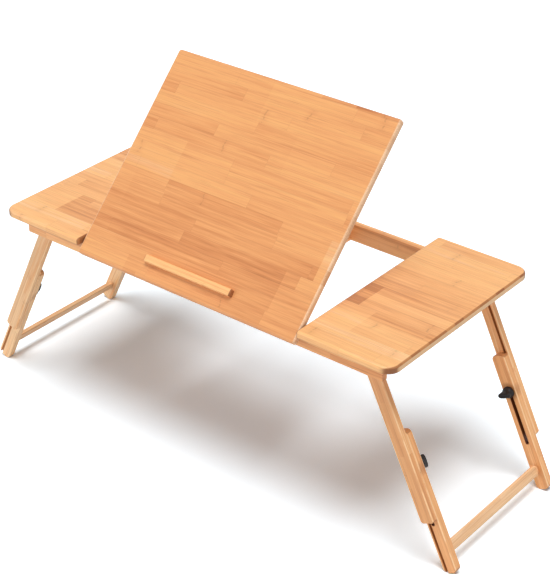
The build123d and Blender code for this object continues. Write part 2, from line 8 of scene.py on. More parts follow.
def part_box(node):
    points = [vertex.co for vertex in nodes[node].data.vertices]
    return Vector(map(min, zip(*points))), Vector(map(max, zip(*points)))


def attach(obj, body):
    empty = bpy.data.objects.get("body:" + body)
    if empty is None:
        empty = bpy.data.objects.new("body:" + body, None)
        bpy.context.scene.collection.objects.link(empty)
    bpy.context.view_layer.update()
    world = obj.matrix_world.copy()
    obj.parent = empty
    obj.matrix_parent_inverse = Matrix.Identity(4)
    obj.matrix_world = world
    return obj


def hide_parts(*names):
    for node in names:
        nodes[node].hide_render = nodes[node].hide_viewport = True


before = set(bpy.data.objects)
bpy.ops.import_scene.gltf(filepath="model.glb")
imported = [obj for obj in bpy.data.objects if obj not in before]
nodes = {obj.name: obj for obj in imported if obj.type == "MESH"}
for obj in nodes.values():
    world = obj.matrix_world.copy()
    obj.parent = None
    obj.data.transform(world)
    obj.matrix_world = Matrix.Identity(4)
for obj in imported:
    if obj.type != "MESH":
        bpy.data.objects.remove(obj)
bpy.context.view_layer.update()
print("frame loaded:", len(nodes), "nodes")

# The photograph's camera, in metres; the focal length is in pixels of a picture 550 wide
viewpoint = {
    "place": (1.3654, -1.65204, 1.48494),
    "target": (0.01265, 0.02400, 0.22984),
    "roll": -0.029,
    "focalPixels": 1664.53,
    "pictureWidth": 550,
    "sensor": 36.0,
}

# How the table's own directions lie, in degrees
stance = {"legSplay": 26.0, "panelTilt": 46.0}


class Wire:
    # A number on a socket. Each operator adds the Math node that works it out.
    def __init__(self, recipe, socket):
        self.recipe = recipe
        self.socket = socket

    def math(self, operation, first, second=0.0):
        values = {0: first, 1: second}
        return self.recipe.wire("ShaderNodeMath", {"operation": operation}, values, 0)

    def __add__(self, other):
        return self.math("ADD", self, other)

    def __radd__(self, other):
        return self.math("ADD", other, self)

    def __sub__(self, other):
        return self.math("SUBTRACT", self, other)

    def __rsub__(self, other):
        return self.math("SUBTRACT", other, self)

    def __mul__(self, other):
        return self.math("MULTIPLY", self, other)

    def __rmul__(self, other):
        return self.math("MULTIPLY", other, self)

    def __truediv__(self, other):
        return self.math("DIVIDE", self, other)

    def __pow__(self, other):
        return self.math("POWER", self, other)

    def __lt__(self, other):
        return self.math("LESS_THAN", self, other)

    def floor(self):
        return self.math("FLOOR", self)

    def size(self):
        return self.math("ABSOLUTE", self)

    def fraction(self):
        return self.math("FRACT", self)

    def atMost(self, other):
        return self.math("MINIMUM", self, other)

    def atLeast(self, other):
        return self.math("MAXIMUM", self, other)

    def between(self, low, high):
        # 0 at low, 1 at high, with an even slope and flat ends
        settings = {"clamp": True, "interpolation_type": "SMOOTHSTEP"}
        values = {"Value": self, "From Min": low, "From Max": high}
        return self.recipe.wire("ShaderNodeMapRange", settings, values, "Result")


class Recipe:
    # The nodes that make the finish of a material, or of the world
    def __init__(self, owner):
        owner.use_nodes = True
        self.owner = owner
        self.tree = owner.node_tree
        self.tree.nodes.clear()

    def node(self, kind, settings, values):
        made = self.tree.nodes.new(kind)
        for key, value in settings.items():
            if key == "stops":
                self.setStops(made.color_ramp, value)
            else:
                setattr(made, key, value)
        for key, value in values.items():
            if isinstance(value, Wire):
                value = value.socket
            if isinstance(value, bpy.types.NodeSocket):
                self.tree.links.new(value, made.inputs[key])
            else:
                made.inputs[key].default_value = value
        return made

    def wire(self, kind, settings, values, output):
        return Wire(self, self.node(kind, settings, values).outputs[output])

    def setStops(self, ramp, stops):
        while len(ramp.elements) < len(stops):
            ramp.elements.new(0.5)
        for element, (place, colour) in zip(ramp.elements, stops):
            element.position = place
            element.color = (*colour, 1.0)

    def vector(self, operation, first, second):
        settings = {"operation": operation}
        return self.node("ShaderNodeVectorMath", settings, {0: first, 1: second}).outputs[0]

    def joined(self, x, y, z):
        return self.node("ShaderNodeCombineXYZ", {}, {"X": x, "Y": y, "Z": z}).outputs[0]

    def noise(self, vector, scale, detail=2.0, roughness=0.5):
        values = {"Vector": vector, "Scale": scale, "Detail": detail, "Roughness": roughness}
        return self.wire("ShaderNodeTexNoise", {}, values, "Fac")

    def chance(self, vector):
        # One even random number for each whole-numbered vector
        settings = {"noise_dimensions": "3D"}
        return self.wire("ShaderNodeTexWhiteNoise", settings, {"Vector": vector}, "Value")

    def colours(self, factor, stops):
        return self.node("ShaderNodeValToRGB", {"stops": stops}, {"Fac": factor}).outputs["Color"]

    def blend(self, factor, first, second):
        # Sockets 6 and 7 of a Mix node are its colours, and output 2 is the mixed colour
        values = {0: factor, 6: first, 7: second}
        return self.node("ShaderNodeMix", {"data_type": "RGBA"}, values).outputs[2]

    def finish(self, shader):
        self.node("ShaderNodeOutputMaterial", {}, {"Surface": shader})
        return self.owner


def linear(red, green, blue):
    # A colour as it is seen, 0 to 255, made linear for a shader
    parts = np.array([red, green, blue]) / 255.0
    dark = parts / 12.92
    light = ((parts + 0.055) / 1.055) ** 2.4
    return tuple(float(value) for value in np.where(parts <= 0.04045, dark, light))


# Colours of the strips, from the darkest to the palest
boardTones = [
    (0.00, linear(198, 128, 74)),
    (0.16, linear(222, 151, 93)),
    (0.36, linear(240, 173, 112)),
    (0.56, linear(249, 186, 123)),
    (0.76, linear(253, 195, 128)),
    (0.90, linear(250, 192, 138)),
    (1.00, linear(255, 208, 148)),
]
legTones = [
    (0.00, linear(204, 134, 80)),
    (0.25, linear(226, 156, 98)),
    (0.50, linear(238, 171, 110)),
    (0.75, linear(246, 184, 124)),
    (1.00, linear(254, 210, 158)),
]
barTones = [
    (0.00, linear(216, 162, 112)),
    (0.50, linear(240, 192, 142)),
    (1.00, linear(250, 212, 168)),
]


def shaded(tones, part):
    # The same tones with each of red, green and blue taken down by its own part, as painted shade
    return [(place, tuple(value * share for value, share in zip(colour, part)))
            for place, colour in tones]


# What all the bamboo shares, for a texture in metres. A grain has its waves to a metre along the
# fibres and across them, its detail and its roughness. A pair is where a mask starts and where it
# is full.
bambooLook = {
    "lineGrain": (8.0, 230.0, 3.0, 0.6),
    "fibreGrain": (6.0, 620.0, 3.0, 0.62),
    "hairGrain": (24.0, 1600.0, 1.0, 0.5),
    "grainShift": 3.0,
    "driftScale": (3.5, 16.0, 16.0),
    "shuffled": 7.0,
    "groupShuffled": 5.0,
    "groupLength": 1.7,
    "bandFade": 0.012,
    "fibreMask": (0.56, 0.26),
    "poreMask": (0.58, 0.74),
    "knuckleShare": (0.62, 0.80),
    "knucklePlace": (0.2, 0.6),
    "knuckleWave": (60.0, 9.0, 0.014),
    "knuckleBreaks": (300.0, 9.0),
    "breakMask": (0.42, 0.58),
    "knuckleMask": (0.011, 0.0),
    "knuckleLineMask": (0.0016, 0.0006),
    "glueLine": (0.0006, 0.0001),
    "jointLine": (0.0007, 0.0001),
    "dotScale": 1100.0,
    "dotMask": (0.42, 0.16),
    "roundingFade": 0.0012,
    "endHighlightFade": 0.0008,
    "endMask": (0.22, 0.50),
    "flatEndMask": (0.90, 0.99),
    "downMask": (0.12, 0.55),
    "bottomMask": (0.995, 0.95),
    "cornerFade": 0.012,
    "cornerMask": (0.80, 0.30),
    "boardShadowBand": (0.0190, 0.0125),
    "roundKnobMask": (0.0165, 0.0095),
    "wallMask": (0.40, 0.60),
    "wallInside": 0.0022,
    "floorMask": (0.60, 0.80),
    "floorInside": 0.0015,
    "edgeBand": (0.0019, 0.0007),
    "highlightBreakGrain": (40.0, 9.0),
    "highlightBreakMask": (0.30, 0.55),
    "rubbedScale": 17.0,
    "rubbedMask": (0.45, 0.70),
    "mottleScale": 60.0,
    "rough": {"plain": 0.40, "fibres": 0.12, "mottle": 0.08, "endGrain": 0.16,
              "rubbed": 0.08, "edges": 0.06},
    "relief": {"fibres": 0.6, "pores": -0.5, "seams": -0.9, "knuckleLine": -0.5},
    "bump": {"Strength": 0.20, "Distance": 0.0006},
}

# What a piece's seed is changed by for each further random draw
draws = {"piece": 3.7, "groupShift": 5.0, "groupPiece": 1.3, "knuckle": 9.0}

# What is laid over the strips, real marks and painted light and shade, and how much of it at most
overlays = {
    "fibre": (linear(196, 128, 78), 1.0),
    "pore": (linear(168, 106, 62), 1.0),
    "knuckle": (linear(196, 124, 74), 0.30),
    "knuckleLine": (linear(134, 82, 46), 0.45),
    "seam": (linear(158, 98, 56), 1.0),
    "endDot": (linear(104, 60, 32), 0.55),
    "paintedEndHighlight": (linear(250, 208, 158), 0.80),
    "underside": (linear(150, 92, 54), 1.0),
    "scorch": (linear(126, 72, 32), 0.75),
    "paintedBoardShadow": (linear(150, 94, 52), 0.60),
    "darkRoundKnob": (linear(160, 98, 54), 1.0),
    "paintedEdgeHighlight": (linear(255, 214, 164), 1.0),
}


class Bamboo(Recipe):
    # Glued bamboo. After turning, u runs with the fibres, v across the strips and w through them.
    # Each strip is cut in lengths, each length has its own tone, and groups of strips go together.
    def __init__(self, name, look):
        super().__init__(bpy.data.materials.new(name))
        self.look = look
        spot = self.node("ShaderNodeTexCoord", {}, {})
        turn = tuple(math.radians(angle) for angle in look["turn"])
        placed = {"Vector": spot.outputs["Object"], "Rotation": turn, "Location": look["shift"]}
        facing = {"Vector": spot.outputs["Normal"], "Rotation": turn}
        self.local = self.node("ShaderNodeMapping", {"vector_type": "POINT"}, placed).outputs[0]
        normal = self.node("ShaderNodeMapping", {"vector_type": "NORMAL"}, facing).outputs[0]
        self.u, self.v, self.w = self.axesOf(self.local)
        self.facingU, self.facingV, self.facingW = self.axesOf(normal)
        self.edges = 0.0

    def axesOf(self, vector):
        axes = self.node("ShaderNodeSeparateXYZ", {}, {"Vector": vector}).outputs
        return [Wire(self, axes[i]) for i in range(3)]

    def grain(self, kind):
        # Noise drawn out along the fibres, and another one in each length
        along, across, detail, roughness = bambooLook[kind]
        drawn = self.joined(self.u * along + self.offset, self.v * across, self.w * across)
        return self.noise(drawn, 1.0, detail, roughness)

    def overlaid(self, factor, colour, overlay):
        overlayColour, most = overlays[overlay]
        return self.blend(factor if most == 1.0 else factor * most, colour, (*overlayColour, 1.0))

    def lay(self, factor, overlay):
        self.colour = self.overlaid(factor, self.colour, overlay)

    def edgeOf(self, steps, length, line):
        # 1 on a thin line round the ends of each step of this length
        start, full = bambooLook[line]
        fromMiddle = (steps.fraction() - 0.5).size() * length
        return fromMiddle.between(0.5 * length - start, 0.5 * length - full)

    def layStrips(self):
        look, seed = self.look, self.look["seed"]
        self.across = self.v / look["strip"]
        self.strip = self.across.floor()
        layer = (self.w / look["layer"]).floor()
        self.shuffle = self.chance(self.joined(self.strip, layer, seed))
        self.along = self.u / look["length"] + self.shuffle * bambooLook["shuffled"]
        self.piece = self.along.floor()
        pieceSeed = layer + seed * draws["piece"]
        self.pieceTone = self.chance(self.joined(self.strip, self.piece, pieceSeed))
        self.offset = self.pieceTone * bambooLook["grainShift"]
        group = (self.strip / look["group"]).floor()
        groupShift = self.chance(self.joined(group, layer, seed + draws["groupShift"]))
        groupLength = bambooLook["groupLength"] * look["length"]
        groupPiece = (self.u / groupLength + groupShift * bambooLook["groupShuffled"]).floor()
        groupSeed = layer + seed * draws["groupPiece"]
        groupTone = self.chance(self.joined(group, groupPiece, groupSeed))
        drifting = self.vector("MULTIPLY", self.local, bambooLook["driftScale"])
        drift = self.noise(drifting, 1.0, 2.0) - 0.5
        lines = self.grain("lineGrain") - 0.5
        level = (look["middle"] + (groupTone - 0.5) * look["groups"]
                 + (self.pieceTone - 0.5) * look["pieces"]
                 + drift * look["drift"] + lines * look["lines"])
        if "band" in look:
            # Some neighbouring strips are all darker
            middle, half, depth = look["band"]
            fromBand = ((self.strip + 0.5) * look["strip"] - middle).size()
            level = level - fromBand.between(half + bambooLook["bandFade"], half) * depth
        self.colour = self.colours(level.atMost(1.0).atLeast(0.0), look["tones"])

    def layFibres(self):
        self.fibres = self.grain("fibreGrain")
        self.pores = self.grain("hairGrain").between(*bambooLook["poreMask"])
        self.lay(self.fibres.between(*bambooLook["fibreMask"]) * self.look["fibres"], "fibre")
        self.lay(self.pores * self.look["hairs"], "pore")

    def layKnuckles(self):
        # A knuckle crosses some of the lengths: a soft shade with a short broken line in it
        look = self.look
        knuckleSeed = look["seed"] + draws["knuckle"]
        chances = self.chance(self.joined(self.piece, self.strip, knuckleSeed))
        some = chances.between(*bambooLook["knuckleShare"])
        scale, other, reach = bambooLook["knuckleWave"]
        waving = self.joined(self.v * scale, self.w * scale, self.pieceTone * other)
        wave = (self.noise(waving, 1.0, 2.0) - 0.5) * reach
        first, spread = bambooLook["knucklePlace"]
        place = first + spread * self.shuffle
        fromKnuckle = ((self.along.fraction() - place) * look["length"] + wave).size()
        scale, other = bambooLook["knuckleBreaks"]
        breaks = self.noise(self.joined(self.v * scale, self.w * scale, self.u * other), 1.0, 1.0)
        broken = breaks.between(*bambooLook["breakMask"])
        shade = fromKnuckle.between(*bambooLook["knuckleMask"]) * some * look["knuckles"]
        line = fromKnuckle.between(*bambooLook["knuckleLineMask"]) * broken * some
        self.knuckleLine = line * look["knuckles"]
        self.lay(shade, "knuckle")
        self.lay(self.knuckleLine, "knuckleLine")

    def laySeams(self):
        # Glue lines between strips and between lengths
        glue = self.edgeOf(self.across, self.look["strip"], "glueLine")
        joint = self.edgeOf(self.along, self.look["length"], "jointLine")
        self.seams = glue.atLeast(joint)
        self.lay(self.seams * self.look["seams"], "seam")

    def layEnds(self):
        # End grain has its own tones, also where it shows on the rounding, with the ends of the
        # fibre bundles as fine dots. A board's flat outer end faces are laid paler, as a painted
        # highlight
        look = self.look
        dotted = {"Vector": self.local, "Scale": bambooLook["dotScale"]}
        dots = self.wire("ShaderNodeTexVoronoi", {}, dotted, "Distance")
        fromMiddle, facingEnd = self.u.size(), self.facingU.size()
        roundFrom, endHighlightFrom = look["roundFrom"], look["endHighlightFrom"]
        rounding = fromMiddle.between(roundFrom, roundFrom + bambooLook["roundingFade"])
        self.endGrain = facingEnd.between(*bambooLook["endMask"]).atLeast(rounding)
        # Painted highlight: the flat outer end faces of a board are laid paler
        endHighlight = (fromMiddle.between(endHighlightFrom, endHighlightFrom + bambooLook["endHighlightFade"])
                    * facingEnd.between(*bambooLook["flatEndMask"]))
        ends = self.blend(self.pieceTone, (*look["endDark"], 1.0), (*look["endPale"], 1.0))
        ends = self.overlaid(dots.between(*bambooLook["dotMask"]), ends, "endDot")
        ends = self.overlaid(endHighlight, ends, "paintedEndHighlight")
        self.colour = self.blend(self.endGrain * look["ends"], self.colour, ends)

    def layUnderShade(self):
        # Painted shade: the lower rounding of a board, which faces down, is darker
        facingDown = self.facingW * -1.0
        under = (facingDown.between(*bambooLook["downMask"])
                 * facingDown.between(*bambooLook["bottomMask"]))
        self.lay(under * self.look["under"], "underside")

    def layCorners(self):
        # The cutter browns the rim of a board's outer corners
        cornerU, cornerV = self.look["corner"]
        fade = bambooLook["cornerFade"]
        outer = (self.u.size().between(cornerU, cornerU + fade)
                 * self.v.size().between(cornerV, cornerV + fade))
        self.lay(outer * self.facingW.between(*bambooLook["cornerMask"]), "scorch")

    def layBoardShadow(self):
        # Painted shadow: a rail is darker towards the board above it, where the board's shadow
        # falls
        start, full = bambooLook["boardShadowBand"]
        high = self.w.between(self.look["shade"] - start, self.look["shade"] - full)
        self.lay(high * (1.0 - self.facingW.size()), "paintedBoardShadow")

    def layDarkRoundKnob(self):
        # The leg is darker in a patch round its knob, fading out away from it
        knobU, knobW = self.look["knob"]
        awayU, awayW = self.u - knobU, self.w - knobW
        fromKnob = (awayU * awayU + awayW * awayW) ** 0.5
        self.lay(fromKnob.between(*bambooLook["roundKnobMask"]) * self.look["overlay"], "darkRoundKnob")

    def layGrooves(self):
        # Painted shade: a groove's walls and floor are browner and a slot's are dark.
        # Painted highlight: the long edges are paler.
        look = self.look
        (lowV, highV), (lowW, highW) = look["section"]
        fromV = (self.v - (lowV + highV) / 2).size()
        fromW = (self.w - (lowW + highW) / 2).size()
        halfV, halfW = (highV - lowV) / 2, (highW - lowW) / 2
        walls = (self.facingW.size().between(*bambooLook["wallMask"])
                 * (fromW < halfW - bambooLook["wallInside"]))
        floors = (self.facingV.size().between(*bambooLook["floorMask"])
                  * (fromV < halfV - bambooLook["floorInside"]))
        inSlot = fromW < look["slotHalf"]
        recessShade = self.blend(inSlot, (*look["groove"], 1.0), (*look["slotShade"], 1.0))
        self.colour = self.blend(walls.atLeast(floors), self.colour, recessShade)
        # Painted highlight: a paler line along the long edges, broken up by a noise
        start, full = bambooLook["edgeBand"]
        self.edges = (fromV.between(halfV - start, halfV - full)
                      * fromW.between(halfW - start, halfW - full))
        along, across = bambooLook["highlightBreakGrain"]
        breaking = self.joined(self.u * along, self.v * across, self.w * across)
        highlightBreaks = self.noise(breaking, 1.0, 2.0).between(*bambooLook["highlightBreakMask"])
        self.lay(self.edges * highlightBreaks * look["rubbed"], "paintedEdgeHighlight")

    def surface(self):
        # Rubbed patches and edges are glossier
        rubbed = self.noise(self.local, bambooLook["rubbedScale"], 2.0)
        rubbed = rubbed.between(*bambooLook["rubbedMask"])
        mottle = self.noise(self.local, bambooLook["mottleScale"], 2.0)
        share = bambooLook["rough"]
        rough = (share["plain"] + self.fibres * share["fibres"] + mottle * share["mottle"]
                 + self.endGrain * share["endGrain"] - rubbed * share["rubbed"]
                 - self.edges * share["edges"])
        share = bambooLook["relief"]
        height = (self.fibres * share["fibres"] + self.pores * share["pores"]
                  + self.seams * share["seams"] + self.knuckleLine * share["knuckleLine"])
        relief = {**bambooLook["bump"], "Height": height}
        return self.finish(self.node("ShaderNodeBsdfPrincipled", {}, {
            "Base Color": self.colour,
            "Roughness": rough,
            "Normal": self.node("ShaderNodeBump", {}, relief).outputs[0],
            "Coat Weight": 0.15,
            "Coat Roughness": 0.30,
            "Specular IOR Level": 0.4,
        }).outputs[0])


def bambooFinish(name, look):
    wood = Bamboo(name, look)
    wood.layStrips()
    wood.layFibres()
    wood.layKnuckles()
    wood.laySeams()
    wood.layEnds()
    wood.layUnderShade()
    for setting, layer in (("corner", wood.layCorners), ("shade", wood.layBoardShadow),
                           ("knob", wood.layDarkRoundKnob), ("section", wood.layGrooves)):
        if setting in look:
            layer()
    return wood.surface()


def dress(names, material):
    for name in names:
        piece = nodes[name]
        if not piece.material_slots:
            piece.data.materials.append(material)
        for slot in piece.material_slots:
            slot.material = material


# Top boards: broad strips that run along the table
boardLook = {
    "turn": (0, 0, 0), "shift": (0, 0, 0), "seed": 2.0, "tones": boardTones, "middle": 0.56,
    "strip": 0.0205, "layer": 1.0, "length": 0.21, "group": 3.0,
    "groups": 0.50, "pieces": 0.30, "drift": 0.60, "lines": 1.00, "fibres": 0.40, "hairs": 0.30,
    "knuckles": 0.55, "seams": 0.14, "ends": 0.90, "under": 0.80,
    "roundFrom": 0.3566, "endHighlightFrom": 0.3588,
    "endDark": linear(138, 78, 38), "endPale": linear(196, 132, 78),
}
tilt = stance["panelTilt"]
tiltTurn = (-tilt, 0, 0)
sideLook = {**boardLook, "corner": (0.338, 0.148)}
rightLook = {**sideLook, "seed": 6.0, "band": (-0.04, 0.045, 0.28)}
leftLook = {**sideLook, "seed": 8.0, "middle": 0.48}
dress(["side_panel_right"], bambooFinish("bambooRightBoard", rightLook))
dress(["side_panel_left"], bambooFinish("bambooLeftBoard", leftLook))
tiltLook = {
    **boardLook, "turn": tiltTurn, "seed": 4.0, "middle": 0.50,
    # The tilted board's tones are the boards' tones taken down: painted shade on the leaning panel
    "tones": shaded(boardTones, (0.82, 0.73, 0.67)),
    "endDark": linear(226, 176, 132), "endPale": linear(250, 212, 174),
}
dress(["tilt_panel"], bambooFinish("bambooTiltBoard", tiltLook))

# Rails, racks and lip: narrow strips, longer lengths
railLook = {
    **boardLook, "strip": 0.0105, "layer": 0.0098, "length": 0.27, "group": 2.0, "middle": 0.50,
    "drift": 0.40, "fibres": 0.28, "seams": 0.18, "knuckles": 0.45, "under": 0.3, "ends": 0.25,
    "roundFrom": 9.0, "endHighlightFrom": 9.0,
}
alongY = (0, 0, -90)
crossLook = {**railLook, "shift": (0, 0.004, 0.003)}
frontLook = {**crossLook, "shade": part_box("front_rail")[1].z + crossLook["shift"][2]}
rackLook = {**railLook, "turn": alongY}
lipLook = {
    **railLook, "turn": tiltTurn, "seed": 11.0, "ends": 0.90,
    "endDark": linear(134, 74, 36), "endPale": linear(164, 96, 52),
}
dress(["front_rail"], bambooFinish("bambooFrontRail", frontLook))
dress(["back_rail"], bambooFinish("bambooBackRail", {**crossLook, "middle": 0.60}))
dress(["prop_rack_left", "prop_rack_right"], bambooFinish("bambooRack", rackLook))
dress(["stop_lip"], bambooFinish("bambooLip", lipLook))


def sectionOf(name, turn):
    # How far a leg reaches across and through its fibres, once it is turned as its finish is
    piece = nodes[name]
    points = np.empty(3 * len(piece.data.vertices))
    piece.data.vertices.foreach_get("co", points)
    across = Euler([math.radians(angle) for angle in turn]).to_matrix()
    turned = points.reshape(-1, 3) @ np.array(across).T
    return [(float(turned[:, i].min()), float(turned[:, i].max())) for i in (1, 2)]


def turnedPlace(point, turn):
    # Where a point lies along and through the fibres, once it is turned
    turned = Euler([math.radians(angle) for angle in turn]).to_matrix() @ point
    return turned.x, turned.z


# Legs: the fibres run down each leg
legLook = {
    **boardLook, "strip": 0.0062, "layer": 0.0073, "length": 0.31, "group": 2.0, "tones": legTones,
    "groups": 0.35, "pieces": 0.22, "drift": 0.45, "lines": 1.50, "fibres": 0.50, "seams": 0.16,
    # Painted shade: the slot colour darkens a slot's walls and floor
    # The edge strength here sets a painted highlight along a leg's long edges
    "slotShade": linear(110, 48, 16), "slotHalf": 0.0034, "rubbed": 0.85, "overlay": 0.55,
    "knuckles": 0.4, "under": 0.0, "ends": 0.7, "roundFrom": 9.0, "endHighlightFrom": 9.0,
}
# On the left legs the photograph shows no groove, so theirs is pale
# A side's groove colour is painted shade on a groove's walls and floor
legSides = {
    "right": {
        "turn": (0, stance["legSplay"] - 90, 0), "middle": 0.50, "groove": linear(190, 124, 72),
        "seeds": {"upper": 13.0, "lower": 15.0, "crossbar": 21.0},
    },
    # The left legs' middle tone is set paler than the right legs': painted light on the left legs
    "left": {
        "turn": (0, -stance["legSplay"] - 90, 0), "middle": 0.98, "groove": linear(222, 172, 122),
        "seeds": {"upper": 14.0, "lower": 16.0, "crossbar": 22.0},
    },
}
for side, sideSettings in legSides.items():
    legTurn, seeds = sideSettings["turn"], sideSettings["seeds"]
    for kind in ("upper", "lower"):
        for end in ("front", "back"):
            leg = f"{kind}_leg_{end}_{side}"
            look = {**legLook, **sideSettings, "seed": seeds[kind]}
            look["section"] = sectionOf(leg, legTurn)
            # A lower leg is darker in a patch round its knob
            if kind == "lower":
                low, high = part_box(f"knob_washer_{end}_{side}")
                look["knob"] = turnedPlace((low + high) / 2, legTurn)
            dress([leg], bambooFinish(f"bamboo_{leg}", look))
    barLook = {**legLook, "turn": alongY, "seed": seeds["crossbar"], "tones": barTones}
    dress([f"crossbar_{side}"], bambooFinish(f"bamboo_crossbar_{side}", barLook))
    keyLook = {**legLook, "turn": legTurn, "seed": 31.0}
    dress([f"guide_keys_{side}"], bambooFinish(f"bamboo_keys_{side}", keyLook))
dress(["panel_dowels"], bambooFinish("dowelUpright", {**legLook, "turn": (0, 90, 0), "seed": 41.0}))
dress(["rack_dowels"], bambooFinish("dowelLevel", {**legLook, "turn": alongY, "seed": 42.0}))
dress(["lip_dowels"], bambooFinish("dowelLip", {**legLook, "turn": (-tilt, 90, 0), "seed": 43.0}))
print("bamboo done")


def metalFinish(name, look):
    # Plated or drawn metal: a steady colour with fine scratches and dull patches in its gloss
    recipe = Recipe(bpy.data.materials.new(name))
    spot = recipe.node("ShaderNodeTexCoord", {}, {}).outputs["Object"]
    patches = recipe.noise(spot, look["patches"], 3.0)
    scratches = recipe.noise(recipe.vector("MULTIPLY", spot, look["scratch"]), 1.0, 2.0)
    dull = patches.between(*look["dullMask"])
    colour = recipe.blend(dull * look["dulled"], (*look["colour"], 1.0), (*look["dull"], 1.0))
    rough = look["rough"] + patches * look["patchRough"] + scratches * look["scratchRough"]
    relief = {"Strength": 0.12, "Distance": 0.0002, "Height": scratches}
    bump = recipe.node("ShaderNodeBump", {}, relief)
    values = {"Base Color": colour, "Roughness": rough, "Metallic": 1.0, "Normal": bump.outputs[0]}
    return recipe.finish(recipe.node("ShaderNodeBsdfPrincipled", {}, values).outputs[0])


steelLook = {
    "colour": (0.62, 0.62, 0.61), "dull": (0.46, 0.46, 0.46), "rough": 0.22,
    "scratch": (60, 1400, 1400), "scratchRough": 0.10,
    "patches": 160.0, "patchRough": 0.16, "dullMask": (0.45, 0.75), "dulled": 0.5,
}
brassLook = {**steelLook, "colour": (0.70, 0.50, 0.24), "dull": (0.52, 0.36, 0.17)}
hingeSteel = metalFinish("hingeSteel", steelLook)
screwSteel = metalFinish("screwSteel", {**steelLook, "colour": (0.55, 0.55, 0.54), "rough": 0.26})
wireSteel = metalFinish("wireSteel", {**steelLook, "colour": (0.66, 0.66, 0.66), "rough": 0.16})
brass = metalFinish("insertBrass", brassLook)
sheetPieces = ("hinge_rail_leaf", "hinge_panel_leaf", "prop_clip_left", "prop_clip_right")
turnedPieces = ("hinge_pins", "leg_pivot_bolts", "leg_pivot_washers", "knob_stud")
for name in nodes:
    if name.startswith(sheetPieces):
        dress([name], hingeSteel)
    elif name.endswith("screws") or name.startswith(turnedPieces):
        dress([name], screwSteel)
    elif "insert" in name:
        dress([name], brass)
dress(["prop_wire"], wireSteel)


def plasticFinish(name, look):
    # Moulded plastic: a fine even texture, slightly paler and duller where fingers rub it
    recipe = Recipe(bpy.data.materials.new(name))
    spot = recipe.node("ShaderNodeTexCoord", {}, {}).outputs["Object"]
    grain = recipe.noise(spot, look["grain"], 2.0)
    rubbed = recipe.noise(spot, look["patches"], 2.0).between(*look["rubbedMask"])
    colour = recipe.blend(rubbed * look["paled"], (*look["colour"], 1.0), (*look["rubbed"], 1.0))
    rough = look["rough"] + grain * look["grainRough"] + rubbed * look["rubbedRough"]
    relief = {"Strength": 0.25, "Distance": 0.00015, "Height": grain}
    return recipe.finish(recipe.node("ShaderNodeBsdfPrincipled", {}, {
        "Base Color": colour,
        "Roughness": rough,
        "Normal": recipe.node("ShaderNodeBump", {}, relief).outputs[0],
        "Specular IOR Level": 0.25,
    }).outputs[0])


plasticLook = {
    "colour": linear(22, 14, 13), "rubbed": linear(36, 26, 24), "rough": 0.46,
    "grain": 2600.0, "grainRough": 0.12,
    "patches": 90.0, "rubbedMask": (0.48, 0.70), "rubbedRough": 0.08, "paled": 0.6,
}
knobPlastic = plasticFinish("knobPlastic", plasticLook)
dress([name for name in nodes if name.startswith("knob_washer")],
      plasticFinish("washerPlastic", {**plasticLook, "rough": 0.42}))
print("metal and plastic done")


def meshFrom(name, grid):
    # A grid of points (rings, points round each ring, xyz) made a closed skin with capped ends
    rings, around = grid.shape[:2]
    points = grid.reshape(-1, 3)
    here = np.arange(rings * around).reshape(rings, around)
    beside = np.roll(here, -1, axis=1)
    quads = np.stack([here[:-1], beside[:-1], beside[1:], here[1:]], axis=-1).reshape(-1, 4)
    faces = quads.tolist() + [here[0][::-1].tolist(), here[-1].tolist()]
    mesh = bpy.data.meshes.new(name)
    mesh.from_pydata(points.tolist(), [], faces)
    mesh.update()
    piece = bpy.data.objects.new(name, mesh)
    bpy.context.scene.collection.objects.link(piece)
    return piece


# Wing knobs: a round base that flows into a wing for finger and thumb
knobLook = {
    "baseRadius": 0.0087,
    "neckHeight": 0.0060,
    "wingHalfLength": 0.0102,
    "wingHalfThickness": 0.0042,
    "rootHalfLength": 0.0076,
    "height": 0.0160,
    "crestHeight": 0.0034,
    "crestThickness": 0.25,
    "rootThickening": 0.25,
    "squareness": 0.28,
    "ringPower": 1.15,
    "baseEnds": (0.55, 1.25),
    "spreadEnd": 0.9,
    "rings": 34,
    "around": 72,
    "turns": {"front": 0.0, "back": 90.0},
}


def smoothRise(value, low, high):
    # 0 below low, 1 above high, an S-curve between
    part = np.clip((value - low) / (high - low), 0.0, 1.0)
    return part * part * (3.0 - 2.0 * part)


def knobSurface(look):
    # A ring at each height is a superellipse: (length |cos|^p, thickness |sin|^p). Up the base both
    # half-axes are the base radius and p is 1; past the neck they go over, by an S-curve, to the
    # wing's, where the length grows and the thickness shrinks. The crest closes in a quarter round.
    height, neck, crestHeight = look["height"], look["neckHeight"], look["crestHeight"]
    part = np.linspace(0.0, 1.0, look["rings"])
    level = height * np.sin(0.5 * math.pi * part) ** look["ringPower"]
    baseEnd, wingStart = look["baseEnds"]
    base = 1.0 - smoothRise(level, baseEnd * neck, wingStart * neck)
    spread = smoothRise(level, neck, look["spreadEnd"] * height)
    wingLength = look["rootHalfLength"] + (look["wingHalfLength"] - look["rootHalfLength"]) * spread
    wingThick = look["wingHalfThickness"] * (1.0 + look["rootThickening"] * (1.0 - spread))
    crest = np.clip((level - (height - crestHeight)) / crestHeight, 0.0, 1.0)
    crestIn = np.sqrt(np.clip(1.0 - crest ** 2, 0.0, 1.0))
    crestThick = look["crestThickness"] + (1.0 - look["crestThickness"]) * crestIn
    length = (base * look["baseRadius"]
              + (1.0 - base) * (wingLength - crestHeight * (1.0 - crestIn)))
    thick = base * look["baseRadius"] + (1.0 - base) * (wingThick * crestThick)
    power = 1.0 - look["squareness"] * (1.0 - base)
    angle = np.linspace(0.0, 2.0 * math.pi, look["around"], endpoint=False)
    cosine, sine = np.cos(angle), np.sin(angle)
    alongWing = np.sign(cosine) * np.abs(cosine) ** power[:, None] * length[:, None]
    acrossWing = np.sign(sine) * np.abs(sine) ** power[:, None] * thick[:, None]
    return alongWing, acrossWing, np.repeat(level[:, None], look["around"], axis=1)


